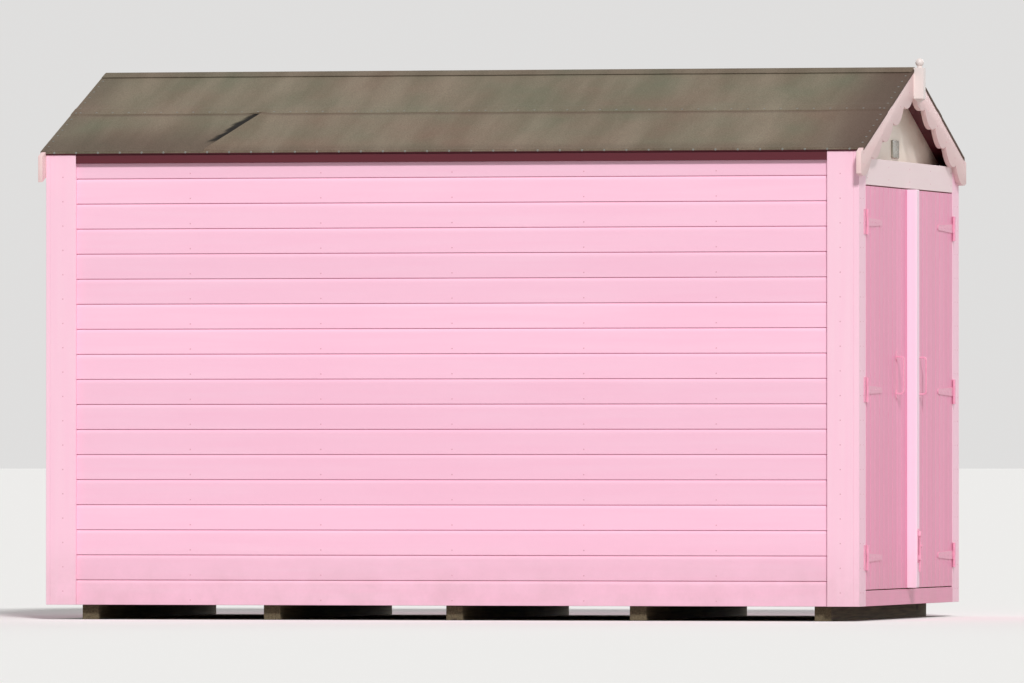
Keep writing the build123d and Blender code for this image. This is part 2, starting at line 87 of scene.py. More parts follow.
def slope_normal(sign):
    """Square to the left or right slope, outwards."""
    return Vector((sign * sin(pitch), 0, cos(pitch)))


# What the record says of each node
record = frame["record"]
bodies = {node: body for body, held in record["behaviour"]["bodies"].items() for node in held}


# Colours and nodes
def linear(code):
    """A hex colour as linear red, green, blue and alpha."""
    values = []
    for start in (1, 3, 5):
        c = int(code[start:start + 2], 16) / 255
        values.append(c / 12.92 if c <= 0.04045 else ((c + 0.055) / 1.055) ** 2.4)
    return (*values, 1.0)


def add(tree, kind, links=None, **settings):
    """Adds a node. Links give its inputs, by name or number, a value or what feeds them."""
    node = tree.nodes.new(kind)
    for name, value in settings.items():
        setattr(node, name, value)
    for name, value in (links or {}).items():
        if isinstance(value, bpy.types.Node):
            value = [output for output in value.outputs if output.enabled][0]
        if isinstance(value, bpy.types.NodeSocket):
            tree.links.new(value, node.inputs[name])
        else:
            node.inputs[name].default_value = value
    return node


def new_material(name):
    """A material and its empty tree."""
    material = bpy.data.materials.new(name)
    material.use_nodes = True
    material.node_tree.nodes.clear()
    return material, material.node_tree


BOARD_SHIFT = 7.3


def board_coordinates(tree, axis, length, width):
    """Object coordinates for marks of a length and width along the grain, moved on every board."""
    place = add(tree, "ShaderNodeTexCoord").outputs["Object"]
    board = add(tree, "ShaderNodeAttribute", attribute_name="board").outputs["Fac"]
    shift = add(tree, "ShaderNodeMath", {0: board, 1: BOARD_SHIFT}, operation="MULTIPLY")
    moved = add(tree, "ShaderNodeVectorMath", {0: place, 1: shift}, operation="ADD")
    scale = [1 / length if name == axis else 1 / width for name in "xyz"]
    return add(tree, "ShaderNodeMapping", {"Vector": moved, "Scale": scale})


def shaded_boards(tree, colour, amount):
    """The colour, lighter or darker by up to the amount from board to board."""
    board = add(tree, "ShaderNodeAttribute", attribute_name="board").outputs["Fac"]
    shade = add(tree, "ShaderNodeMath", {0: board, 1: amount, 2: 1.0}, operation="MULTIPLY_ADD")
    return add(tree, "ShaderNodeVectorMath", {0: colour, "Scale": shade}, operation="SCALE")


GRIME = "#9A8478"
BRUSH_STROKE = (200 * MM, 4 * MM)  # real marks are 1 mm wide, too fine to show
CHALK_STREAK = (660 * MM, 33 * MM)
CHALKED = 0.55
FADED_PATCH = 1100 * MM
PAINT_SHADE = 0.035
SPLASH_TOP = 400 * MM
SPLASH_FOOT = 70 * MM
SPLASH_SPOT = 140 * MM
SPLASH_DIRT = 0.24
FRESH_GLOSS = 0.36
OLD_GLOSS = 0.42


def painted_timber(name, paint, worn, axis, roughness=OLD_GLOSS, grime=GRIME):
    """Exterior gloss brushed on planed softwood, gone satin outdoors: brush marks along the
    grain, boards a shade apart, chalky patches and splashed dirt that fades out above the foot."""
    material, tree = new_material(name)
    place = add(tree, "ShaderNodeTexCoord").outputs["Object"]
    brush = board_coordinates(tree, axis, *BRUSH_STROKE)
    marks = add(tree, "ShaderNodeTexNoise", {"Vector": brush, "Scale": 1, "Detail": 3})
    patches = add(tree, "ShaderNodeTexNoise", {"Vector": place, "Scale": 1 / FADED_PATCH, "Detail": 5})
    streaks = board_coordinates(tree, axis, *CHALK_STREAK)
    chalk = add(tree, "ShaderNodeTexNoise", {"Vector": streaks, "Scale": 1, "Detail": 4})
    chalked = add(tree, "ShaderNodeMath", {0: patches, 1: chalk}, operation="MULTIPLY")
    chalks = {"Value": chalked, "From Min": 0.15, "From Max": 0.40, "To Max": CHALKED}
    fade = add(tree, "ShaderNodeMapRange", chalks)
    paints = {"Factor": fade, "A": linear(paint), "B": linear(worn)}
    base = add(tree, "ShaderNodeMix", paints, data_type="RGBA")
    toned = shaded_boards(tree, base, PAINT_SHADE)
    height = add(tree, "ShaderNodeSeparateXYZ", {0: place}).outputs["Z"]
    reach = {"Value": height, "From Min": SPLASH_TOP, "From Max": SPLASH_FOOT, "To Max": SPLASH_DIRT}
    splash = add(tree, "ShaderNodeMapRange", reach, interpolation_type="SMOOTHSTEP")
    spot = {"Vector": place, "Scale": 1 / SPLASH_SPOT, "Detail": 9, "Roughness": 0.68}
    spots = add(tree, "ShaderNodeTexNoise", spot)
    drops = {"Value": spots, "From Min": 0.32, "From Max": 0.70, "To Min": 0.25}
    spotted = add(tree, "ShaderNodeMapRange", drops)
    dirt = add(tree, "ShaderNodeMath", {0: splash, 1: spotted}, operation="MULTIPLY")
    dirtied = {"Factor": dirt, "A": toned, "B": linear(grime)}
    colour = add(tree, "ShaderNodeMix", dirtied, data_type="RGBA")
    satin = {"Value": marks, "To Min": roughness - 0.06, "To Max": roughness + 0.10}
    rough = add(tree, "ShaderNodeMapRange", satin)
    relief = add(tree, "ShaderNodeBump", {"Height": marks, "Strength": 0.22, "Distance": 0.6 * MM})
    finish = {"Base Color": colour, "Roughness": rough, "IOR": 1.5, "Normal": relief}
    surface = add(tree, "ShaderNodeBsdfPrincipled", finish)
    add(tree, "ShaderNodeOutputMaterial", {"Surface": surface})
    return material


GRAIN_LINE = (210 * MM, 8 * MM)
KNOT_CELL = (570 * MM, 240 * MM)
WOOD_SHADE = 0.15
PLANED = 0.6
TRODDEN = 0.7
SAWN = 0.8


def bare_timber(name, early, late, knot, axis, roughness=PLANED):
    """Softwood without a finish, planed, trodden, or sawn and treated: pale early wood, darker
    late wood in long lines along the board, and a small dark knot here and there."""
    material, tree = new_material(name)
    grain = board_coordinates(tree, axis, *GRAIN_LINE)
    lines = add(tree, "ShaderNodeTexNoise", {"Vector": grain, "Scale": 1, "Detail": 4, "Distortion": 0.5})
    rings = add(tree, "ShaderNodeMapRange", {"Value": lines, "From Min": 0.35, "From Max": 0.68})
    cell = board_coordinates(tree, axis, *KNOT_CELL)
    cells = add(tree, "ShaderNodeTexVoronoi", {"Vector": cell, "Scale": 1})
    near = {"Value": cells.outputs["Distance"], "From Min": 0.085, "From Max": 0.03}
    knots = add(tree, "ShaderNodeMapRange", near)
    wood = linear(early)
    for amount, code in ((rings, late), (knots, knot)):
        layer = {"Factor": amount, "A": wood, "B": linear(code)}
        wood = add(tree, "ShaderNodeMix", layer, data_type="RGBA")
    colour = shaded_boards(tree, wood, WOOD_SHADE)
    fibre = add(tree, "ShaderNodeBump", {"Height": lines, "Strength": 0.3, "Distance": 0.5 * MM})
    finish = {"Base Color": colour, "Roughness": roughness, "IOR": 1.5, "Normal": fibre}
    surface = add(tree, "ShaderNodeBsdfPrincipled", finish)
    add(tree, "ShaderNodeOutputMaterial", {"Surface": surface})
    return material


SLATE_PATCH = 385 * MM
DRIFT = (830 * MM, 154 * MM, 830 * MM)
GRANULE = 5 * MM  # real ones are 1 mm, too fine to show
MOTTLE = 0.4
BLEACHED = 0.6
DAMP_AND_SHADE_STRENGTH = 0.75


def mineral_felt(name, brown, green, pale, damp_and_shade, tar_and_shadow):
    """Bitumen felt faced with crushed slate: matt, speckled, brown and green in patches, bleached
    in drifts down the slope, darker and redder where it stays damp and, along the front verge,
    with painted shade, and each roll its own tone."""
    material, tree = new_material(name)
    place = add(tree, "ShaderNodeTexCoord").outputs["Object"]
    roll = add(tree, "ShaderNodeAttribute", attribute_name="roll").outputs["Fac"]
    patches = add(tree, "ShaderNodeTexNoise", {"Vector": place, "Scale": 1 / SLATE_PATCH, "Detail": 5})
    uneven = {"Value": patches, "From Min": 0.3, "From Max": 0.7, "To Min": -MOTTLE, "To Max": MOTTLE}
    mottle = add(tree, "ShaderNodeMapRange", uneven)
    tone = add(tree, "ShaderNodeMath", {0: roll, 1: mottle}, operation="ADD", use_clamp=True)
    drifts = add(tree, "ShaderNodeMapping", {"Vector": place, "Scale": [1 / size for size in DRIFT]})
    washed = add(tree, "ShaderNodeTexNoise", {"Vector": drifts, "Scale": 1, "Detail": 6})
    sunned = {"Value": washed, "From Min": 0.38, "From Max": 0.72, "To Max": BLEACHED}
    bleach = add(tree, "ShaderNodeMapRange", sunned)
    edge = add(tree, "ShaderNodeAttribute", attribute_name="edge").outputs["Fac"]
    darkening = add(tree, "ShaderNodeMath", {0: edge, 1: DAMP_AND_SHADE_STRENGTH}, operation="MULTIPLY")
    weathered = linear(brown)
    for amount, code in ((tone, green), (bleach, pale), (darkening, damp_and_shade)):
        layer = {"Factor": amount, "A": weathered, "B": linear(code)}
        weathered = add(tree, "ShaderNodeMix", layer, data_type="RGBA")
    grit = add(tree, "ShaderNodeTexNoise", {"Vector": place, "Scale": 1 / GRANULE, "Detail": 2})
    specks = {"Value": grit, "From Min": 0.3, "From Max": 0.7, "To Min": 0.8, "To Max": 1.2}
    speckle = add(tree, "ShaderNodeMapRange", specks)
    slate = add(tree, "ShaderNodeVectorMath", {0: weathered, "Scale": speckle}, operation="SCALE")
    # The dark band past the end lap's lifted edge: bitumen and painted shadow
    seam = add(tree, "ShaderNodeAttribute", attribute_name="tar_and_shadow").outputs["Fac"]
    colour = add(tree, "ShaderNodeMix", {"Factor": seam, "A": slate, "B": linear(tar_and_shadow)}, data_type="RGBA")
    relief = add(tree, "ShaderNodeBump", {"Height": grit, "Strength": 0.35, "Distance": 0.8 * MM})
    finish = {"Base Color": colour, "Roughness": 0.93, "Specular IOR Level": 0.2, "Normal": relief}
    surface = add(tree, "ShaderNodeBsdfPrincipled", finish)
    add(tree, "ShaderNodeOutputMaterial", {"Surface": surface})
    return material


def metal_finish(name, colour, mark, roughness, mark_size, metallic=0.0):
    """Painted, zinc coated or enamelled steel: even, faintly marked, rougher where handled."""
    material, tree = new_material(name)
    place = add(tree, "ShaderNodeTexCoord").outputs["Object"]
    marks = add(tree, "ShaderNodeTexNoise", {"Vector": place, "Scale": 1 / mark_size, "Detail": 5})
    wear = {"Value": marks, "From Min": 0.45, "From Max": 0.75, "To Max": 0.6}
    rubbed = add(tree, "ShaderNodeMapRange", wear)
    tones = {"Factor": rubbed, "A": linear(colour), "B": linear(mark)}
    tone = add(tree, "ShaderNodeMix", tones, data_type="RGBA")
    handled = {"Value": marks, "To Min": roughness - 0.08, "To Max": roughness + 0.12}
    rough = add(tree, "ShaderNodeMapRange", handled)
    finish = {"Base Color": tone, "Metallic": metallic, "Roughness": rough}
    surface = add(tree, "ShaderNodeBsdfPrincipled", finish)
    add(tree, "ShaderNodeOutputMaterial", {"Surface": surface})
    return material


# Finishes. The walls, corner boards and doors are three pinks, brushed along their boards.
MAROON = "#571020"
WHITE = "#F4DADD"
wall_pinks = {
    axis: painted_timber("pink_paint_along_" + axis, "#FEC6DD", "#FFD0E4", axis) for axis in "xy"
}
trim_pink = painted_timber("pale_pink_paint_upright", "#FFCCE0", "#FFD6E5", "z")
# The doors' pink is deeper than the walls': partly a deeper paint, partly painted shade on the front
door_pink_and_shade, door_pink_and_shade_level = [
    painted_timber("door_paint_and_shade_along_" + axis, "#EE91B6", "#F09EBE", axis, FRESH_GLOSS)
    for axis in "zx"
]
# The meeting batten has the doors' paint made much lighter: a painted highlight
batten_pink_and_highlight = painted_timber("pink_paint_upright", "#FFDCEE", "#FFDEEE", "z", FRESH_GLOSS)
verge_pink = painted_timber("verge_paint", "#EFCDCC", "#F3D9D7", "x")
white_gloss = painted_timber("white_paint_level", WHITE, "#F4E0E0", "x", FRESH_GLOSS)
white_turned = painted_timber("white_paint_turned", "#EBDFDB", "#F2E8E4", "z", FRESH_GLOSS)
cream = painted_timber("cream_paint_level", "#FBEDDD", "#F6E8DA", "x", FRESH_GLOSS)
maroon = painted_timber("maroon_paint_along_y", MAROON, "#5F1727", "y", grime="#4A2A2A")
whitewood = {
    axis: bare_timber("bare_whitewood_along_" + axis, "#D9B88C", "#B98B58", "#6B4223", axis)
    for axis in "xyz"
}
floor_wood = bare_timber("trodden_floor_boards", "#BFA179", "#93704A", "#5A3A22", "x", TRODDEN)
treated = {
    axis: bare_timber("treated_timber_along_" + axis, "#6E6048", "#4D4230", "#33281C", axis, SAWN)
    for axis in "xy"
}
# The fifth colour is the darker red of damp and painted shade, the last the tar and painted shadow at the
# end lap
felt = mineral_felt("mineral_felt", "#7C695A", "#6E6F5C", "#948776", "#56433C", "#1A1612")
painted_steel = metal_finish("pink_painted_steel", "#EFA6C0", "#D98CA8", 0.38, 17 * MM)
zinc = metal_finish("dull_zinc_plate", "#8C8C88", "#6E6A63", 0.5, 3 * MM, metallic=0.8)
filled_nail = metal_finish("painted_nail_head", "#E2A6B8", "#C98F9F", 0.5, 3 * MM)
enamel = metal_finish("plaque_enamel", "#A5A295", "#8F8C7F", 0.25, 25 * MM)


def part_painted(finish, name, paint, axis, limit, side="GREATER_THAN"):
    """The finish with a paint on what lies beyond a limit along an axis."""
    material = finish.copy()
    material.name = name
    tree = material.node_tree
    surface = [n for n in tree.nodes if n.type == "BSDF_PRINCIPLED"][0]
    bare = surface.inputs["Base Color"].links[0].from_socket
    place = add(tree, "ShaderNodeTexCoord").outputs["Object"]
    if axis == "X":
        place = add(tree, "ShaderNodeVectorMath", {0: place}, operation="ABSOLUTE")
    depth = add(tree, "ShaderNodeSeparateXYZ", {0: place}).outputs[axis]
    beyond = add(tree, "ShaderNodeMath", {0: depth, 1: limit}, operation=side)
    paints = {"Factor": beyond, "A": bare, "B": linear(paint)}
    colour = add(tree, "ShaderNodeMix", paints, data_type="RGBA")
    tree.links.new(colour.outputs[2], surface.inputs["Base Color"])
    return material


# The head board is white and the sloping boards above it maroon, like the rafters and the roof
# boards in the open gable and at the eaves. The door head is bare but for its top.
HEAD_BOARD = 116 * MM
PAINT_EDGE = 1 * MM
gable_foot = head_board_foot + HEAD_BOARD + PAINT_EDGE
gable_face = panel_face + PAINT_EDGE
gable_paint = part_painted(white_gloss, "gable_frame_paint", MAROON, "Z", gable_foot)
rafter_paint = part_painted(whitewood["x"], "rafter_paint", MAROON, "Y", gable_face, "LESS_THAN")
eave_paint = part_painted(whitewood["y"], "eave_paint", MAROON, "X", half_body)
roof_paint = part_painted(eave_paint, "roof_board_paint", MAROON, "Y", gable_face, "LESS_THAN")
head_face = head_top - 2 * PAINT_EDGE
door_head_paint = part_painted(whitewood["x"], "door_head_paint", WHITE, "Z", head_face)


# Objects and meshes
def new_object(name, data):
    """An object at the origin holding a mesh, a lamp or a camera."""
    piece = bpy.data.objects.new(name, data)
    bpy.context.scene.collection.objects.link(piece)
    return piece


def mesh_object(name, shape):
    """An object holding a finished bmesh."""
    mesh = bpy.data.meshes.new(name)
    shape.to_mesh(mesh)
    shape.free()
    return new_object(name, mesh)


def plain_mesh(piece):
    """Turns what the modifiers make into the piece's own mesh."""
    graph = bpy.context.evaluated_depsgraph_get()
    made = bpy.data.meshes.new_from_object(
        piece.evaluated_get(graph), preserve_all_data_layers=True, depsgraph=graph
    )
    piece.modifiers.clear()
    piece.data = made


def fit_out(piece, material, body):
    """Gives a finished piece its material and body."""
    piece.data.materials.clear()
    piece.data.materials.append(material)
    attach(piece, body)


def put_in_place(piece, material, node):
    """Fits out a piece that stands for the node, with the node's own body, and hides the node."""
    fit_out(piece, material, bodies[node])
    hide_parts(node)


def join_rows(shape, rows):
    """Faces between neighbouring rows of vertices."""
    for first, second in zip(rows, rows[1:]):
        for i in range(len(first) - 1):
            shape.faces.new((first[i], first[i + 1], second[i + 1], second[i]))


def prism(name, outline, ends, corner, first, second, along):
    """A closed prism. An outline point (a, b) lies a along the first axis and b along the second
    from the corner, and the prism runs between its ends along the third."""
    shape = bmesh.new()
    near, far = [
        [shape.verts.new(corner + end * along + a * first + b * second) for a, b in outline]
        for end in ends
    ]
    shape.faces.new(near)
    shape.faces.new(far[::-1])
    join_rows(shape, [far + far[:1], near + near[:1]])
    bmesh.ops.recalc_face_normals(shape, faces=shape.faces)
    return mesh_object(name, shape)


CUT_TOLERANCE = 0.001 * MM


def cut(piece, point, normal):
    """Cuts off what lies beyond a plane and closes the cut."""
    shape = bmesh.new()
    shape.from_mesh(piece.data)
    parts = shape.verts[:] + shape.edges[:] + shape.faces[:]
    made = bmesh.ops.bisect_plane(
        shape, geom=parts, plane_co=point, plane_no=normal, clear_outer=True, dist=CUT_TOLERANCE
    )
    rim = [e for e in made["geom_cut"] if isinstance(e, bmesh.types.BMEdge) and e.is_boundary]
    bmesh.ops.edgeloop_fill(shape, edges=rim)
    bmesh.ops.recalc_face_normals(shape, faces=shape.faces)
    shape.to_mesh(piece.data)
    shape.free()


# Boards side by side, and fixings set on a surface
def group_with(name, inputs):
    """A geometry node group with named inputs, as (tree, what it is given, its output node). Every
    group is given a mesh and a material."""
    tree = bpy.data.node_groups.new(name, "GeometryNodeTree")
    for label, kind in (("Geometry", "Geometry"), *inputs, ("Material", "Material")):
        tree.interface.new_socket(label, in_out="INPUT", socket_type="NodeSocket" + kind)
    tree.interface.new_socket("Geometry", in_out="OUTPUT", socket_type="NodeSocketGeometry")
    return tree, tree.nodes.new("NodeGroupInput").outputs, tree.nodes.new("NodeGroupOutput")


def end_tree(tree, copies, given, result):
    """Makes the copies real and gives them the material."""
    real = add(tree, "GeometryNodeRealizeInstances", {"Geometry": copies})
    finished = add(tree, "GeometryNodeSetMaterial", {"Geometry": real, "Material": given["Material"]})
    tree.links.new(finished.outputs[0], result.inputs["Geometry"])


SHADE_SEED = 11.0


def board_row_tree():
    """Repeats one board in a row, each sunk by a hair and numbered for its shade."""
    inputs = [("Count", "Int"), ("Pitch", "Vector"), ("Sink", "Vector"), ("Seed", "Int")]
    tree, given, result = group_with("board_row", inputs)
    places = {"Count": given["Count"], "Offset": given["Pitch"]}
    row = add(tree, "GeometryNodeMeshLine", places, mode="OFFSET")
    boards = add(tree, "GeometryNodeInstanceOnPoints", {"Points": row, "Instance": given["Geometry"]})
    chance = add(tree, "FunctionNodeRandomValue", {"Seed": given["Seed"]}, data_type="FLOAT_VECTOR")
    depth = add(tree, "ShaderNodeVectorMath", {0: chance, 1: given["Sink"]}, operation="MULTIPLY")
    sunk = add(tree, "GeometryNodeTranslateInstances", {"Instances": boards, "Translation": depth})
    tone_seed = add(tree, "ShaderNodeMath", {0: given["Seed"], 1: SHADE_SEED}, operation="ADD")
    shades = {"Min": -1.0, "Max": 1.0, "Seed": tone_seed}
    tone = add(tree, "FunctionNodeRandomValue", shades, data_type="FLOAT")
    mark = {"Geometry": sunk, "Name": "board", "Value": tone}
    marked = add(tree, "GeometryNodeStoreNamedAttribute", mark, data_type="FLOAT", domain="INSTANCE")
    end_tree(tree, marked, given, result)
    return tree


def fixings_tree():
    """Sets a copy of the head object on every point, turned to the point's facing."""
    inputs = [("Head", "Object"), ("Size", "Float"), ("Seed", "Int")]
    tree, given, result = group_with("fixings", inputs)
    head = add(tree, "GeometryNodeObjectInfo", {"Object": given["Head"]})
    facing = add(tree, "GeometryNodeInputNamedAttribute", {"Name": "facing"}, data_type="FLOAT_VECTOR")
    turned = add(tree, "FunctionNodeAlignRotationToVector", {"Vector": facing}, axis="Z")
    copies = {"Points": given["Geometry"], "Instance": head.outputs["Geometry"]}
    copies.update({"Rotation": turned, "Scale": given["Size"]})
    heads = add(tree, "GeometryNodeInstanceOnPoints", copies)
    turns = {"Min": 0.0, "Max": 2 * pi, "Seed": given["Seed"]}
    chance = add(tree, "FunctionNodeRandomValue", turns, data_type="FLOAT")
    twist = add(tree, "ShaderNodeCombineXYZ", {"Z": chance})
    driven = add(tree, "GeometryNodeRotateInstances", {"Instances": heads, "Rotation": twist})
    end_tree(tree, driven, given, result)
    return tree


board_row = board_row_tree()
fixings = fixings_tree()


def run_tree(piece, tree, values):
    """Runs a tree on a piece with the inputs' values and keeps the plain mesh."""
    modifier = piece.modifiers.new(tree.name, "NODES")
    modifier.node_group = tree
    for item in tree.interface.items_tree:
        if item.in_out == "INPUT" and item.name in values:
            modifier[item.identifier] = values[item.name]
    plain_mesh(piece)


def boards(piece, count, step, seed, material, sink=(0, 0, 0)):
    """Repeats the piece's one board along step. The seed settles the boards' shades."""
    values = {"Count": count, "Pitch": step, "Sink": sink, "Seed": seed, "Material": material}
    run_tree(piece, board_row, values)


# Heads of nails and screws, 1 m across, scaled by the tree to the real size
def turned_head(name, outline, sides):
    """A closed head: rings of (radius, height), the first and last one point on the axis."""
    shape = bmesh.new()
    rings = []
    for radius, height in outline:
        turns = [2 * pi * i / sides for i in range(sides)] if radius else [0.0]
        places = [(radius * cos(turn), radius * sin(turn), height) for turn in turns]
        rings.append([shape.verts.new(place) for place in places])
    for lower, upper in zip(rings, rings[1:]):
        for i in range(sides):
            low = [lower[k % len(lower)] for k in (i, (i + 1) % sides)]
            high = [upper[k % len(upper)] for k in ((i + 1) % sides, i)]
            shape.faces.new(list(dict.fromkeys(low + high)))
    bmesh.ops.recalc_face_normals(shape, faces=shape.faces)
    head = mesh_object(name, shape)
    head.hide_render = True
    return head


OVAL_NAIL = [(0, -0.3), (0.5, -0.3), (0.5, 0.05), (0.3, 0.14), (0, 0.16)]
CLOUT_NAIL = [(0, -0.2), (0.5, -0.2), (0.5, 0.06), (0.42, 0.1), (0, 0.1)]
DRIVE_HOLE = [(0.2, 0.2), (0.12, 0.06), (0, 0.04)]
ROUND_SCREW = [(0, -0.2), (0.5, -0.2), (0.5, 0.02), (0.42, 0.14)] + DRIVE_HOLE
# Kinds of fixings, as (head, its real width, finish)
NAILS = (turned_head("oval_nail", OVAL_NAIL, 8), 6 * MM, filled_nail)
CLOUTS = (turned_head("clout_nail", CLOUT_NAIL, 8), 10 * MM, zinc)
SCREWS = (turned_head("round_screw", ROUND_SCREW, 10), 8 * MM, painted_steel)


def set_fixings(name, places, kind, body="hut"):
    """Nails or screws of a kind at (place, facing) pairs, joined as one piece."""
    head, width, material = kind
    mesh = bpy.data.meshes.new(name)
    mesh.from_pydata([place for place, _ in places], [], [])
    facing = mesh.attributes.new("facing", "FLOAT_VECTOR", "POINT")
    facing.data.foreach_set("vector", [v for _, normal in places for v in normal])
    piece = new_object(name, mesh)
    values = {"Head": head, "Size": width, "Seed": len(places), "Material": material}
    run_tree(piece, fixings, values)
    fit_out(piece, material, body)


def spread(first, last, pitch_wanted):
    """Places from first to last, evenly, about pitch_wanted apart."""
    steps = max(1, round(abs(last - first) / pitch_wanted))
    return [first + (last - first) * i / steps for i in range(steps + 1)]


# Weatherboards on the three walls
BOARD_COUNT = 18
WALL_SEEDS = {"left": 2, "right": 4, "back": 5}
board_cover = (wall_height - boards_foot) / BOARD_COUNT
SCOOP_HEIGHT = 20 * MM
SCOOP_DEPTH = 8.5 * MM
TONGUE = 9 * MM
BOARD_PLAY = 0.5 * MM
BOARD_SINK = 0.4 * MM
EDGE_ROUND = 1.5 * MM
BACK_EASE = 2 * MM
SCOOP_STEPS = 5
GABLE_BOARDS = ceil((ridge_underside - wall_height) / board_cover)
INSIDE = 0.5  # faces that look inwards by more than this are bare, eased back edges too


def weatherboard_outline():
    """Shiplap in section, as (depth behind the face, height above the lower edge)."""
    tip = board_cover + TONGUE
    back = half_body - half_frame - BOARD_PLAY
    points = [(SCOOP_DEPTH - BOARD_PLAY, 0.0), (EDGE_ROUND, 0.0), (0.0, EDGE_ROUND)]
    for i in range(SCOOP_STEPS + 1):
        turn = pi / 2 * i / SCOOP_STEPS
        drop = SCOOP_DEPTH * (1 - cos(turn))
        rise = SCOOP_HEIGHT * sin(turn)
        points.append((drop, board_cover - SCOOP_HEIGHT + rise - BOARD_PLAY))
    foot = TONGUE + BOARD_PLAY
    points += [(SCOOP_DEPTH, tip), (back - BACK_EASE, tip), (back, tip - BACK_EASE)]
    points += [(back, foot + BACK_EASE), (back - BACK_EASE, foot), (SCOOP_DEPTH - BOARD_PLAY, foot)]
    return points


def weatherboard_wall(side, count, ends, corner, inward, along, grain):
    """One wall of weatherboards, cut off under both slopes, painted outside and bare inside, for
    the wall's plain slab."""
    outline = weatherboard_outline()
    piece = prism(side + "_weatherboards", outline, ends, corner, inward, UP, along)
    paint = wall_pinks[grain]
    boards(piece, count, board_cover * UP, WALL_SEEDS[side], paint, BOARD_SINK * inward)
    for sign in (-1, 1):
        cut(piece, (ridge_underside - BOARD_PLAY) * UP, slope_normal(sign))
    put_in_place(piece, paint, side + "_wall_boarding")
    piece.data.materials.append(whitewood[grain])
    for face in piece.data.polygons:
        if face.normal.dot(inward) > INSIDE:
            face.material_index = 1


side_ends = (frame_front + BOARD_PLAY, frame_back - BOARD_PLAY)
for side, sign in SIDES:
    inward = -sign * RIGHT
    corner = boards_foot * UP - half_body * inward
    weatherboard_wall(side, BOARD_COUNT, side_ends, corner, inward, BACK, "y")
back_ends = (-half_body, half_body)
back_corner = boards_foot * UP + back_face * BACK
weatherboard_wall("back", BOARD_COUNT + GABLE_BOARDS, back_ends, back_corner, -BACK, RIGHT, "x")

# Tongued and grooved boards. The first of a row is laid out early by EDGE_TRIM, so that the cut
# at the row's start takes its groove off.
TONGUE_REACH = 6 * MM
JOINT_PLAY = 0.2 * MM
EDGE_TRIM = TONGUE_REACH + 2 * JOINT_PLAY


def matchboard_outline(width, thickness, front_v, back_v):
    """A tongued and grooved board with chamfers in section, as (across, depth behind the face)."""
    play = JOINT_PLAY
    reach = TONGUE_REACH
    upper = thickness / 3
    lower = 2 * thickness / 3
    face = [(play, front_v), (play + front_v, 0.0), (width - front_v, 0.0), (width, front_v)]
    tongue = [(width, upper), (width + reach, upper), (width + reach, lower), (width, lower)]
    back = [(width, thickness - back_v), (width - back_v, thickness)]
    back += [(play + back_v, thickness), (play, thickness - back_v)]
    groove = [(play, lower + play), (reach + play, lower + play)]
    groove += [(reach + play, upper - play), (play, upper - play)]
    return face + tongue + back + groove


# Door leaves of upright matchboards with a V at each joint
LEAF_BOARDS = 10
LEAF_SEEDS = {"left": 6, "right": 8}
LEAF_V = 4 * MM
leaf_start = meeting_edge - EDGE_TRIM
leaf_board = (leaf_edge - leaf_start) / LEAF_BOARDS
leaf_outline = matchboard_outline(leaf_board, leaf_back - leaf_face, LEAF_V, LEAF_V)
leaf_ends = (leaf_foot, leaf_top)
for side, sign in SIDES:
    outward = sign * RIGHT
    corner = leaf_start * outward + leaf_face * BACK
    name = side + "_door_matchboards"
    leaf = prism(name, leaf_outline, leaf_ends, corner, outward, BACK, UP)
    boards(leaf, LEAF_BOARDS, leaf_board * outward, LEAF_SEEDS[side], door_pink_and_shade)
    cut(leaf, meeting_edge * outward, -outward)
    cut(leaf, leaf_edge * outward, outward)
    put_in_place(leaf, door_pink_and_shade, side + "_door_boards")

# Floor boards across the hut
FLOOR_BOARDS = 32
FLOOR_SEED = 13
FLOOR_V = 2 * MM
floor_start = frame_front - EDGE_TRIM
floor_board = (frame_back - floor_start) / FLOOR_BOARDS
floor_outline = matchboard_outline(floor_board, floor_top - floor_underside, FLOOR_V, FLOOR_V)
floor_ends = (-half_frame, half_frame)
corner = floor_start * BACK + floor_top * UP
floor = prism("floor_matchboards", floor_outline, floor_ends, corner, BACK, -UP, RIGHT)
boards(floor, FLOOR_BOARDS, floor_board * BACK, FLOOR_SEED, floor_wood)
cut(floor, frame_front * BACK, -BACK)
cut(floor, frame_back * BACK, BACK)
put_in_place(floor, floor_wood, "floor_boards")

# Roof boards along the hut, their V joints showing from inside
ROOF_BOARDS = 11
SLOPE_SEEDS = {"left": 16, "right": 18}
ROOF_V = 3 * MM
ridge_allowance = roof_thickness * tan(pitch) + EDGE_TRIM
roof_board = (half_eave / cos(pitch) + ridge_allowance) / ROOF_BOARDS
roof_outline = matchboard_outline(roof_board, roof_thickness, ROOF_V, BOARD_PLAY)
for side, sign in SIDES:
    down = Vector((sign * cos(pitch), 0, -sin(pitch)))
    out = slope_normal(sign)
    corner = roof_crown * UP - ridge_allowance * down - roof_thickness * out
    name = side + "_roof_matchboards"
    roof = prism(name, roof_outline, (leaf_face, roof_back), corner, down, out, BACK)
    boards(roof, ROOF_BOARDS, roof_board * down, SLOPE_SEEDS[side], roof_paint)
    outward = sign * RIGHT
    cut(roof, (0, 0, 0), -outward)
    cut(roof, half_eave * outward, outward)
    put_in_place(roof, roof_paint, side + "_roof_boards")

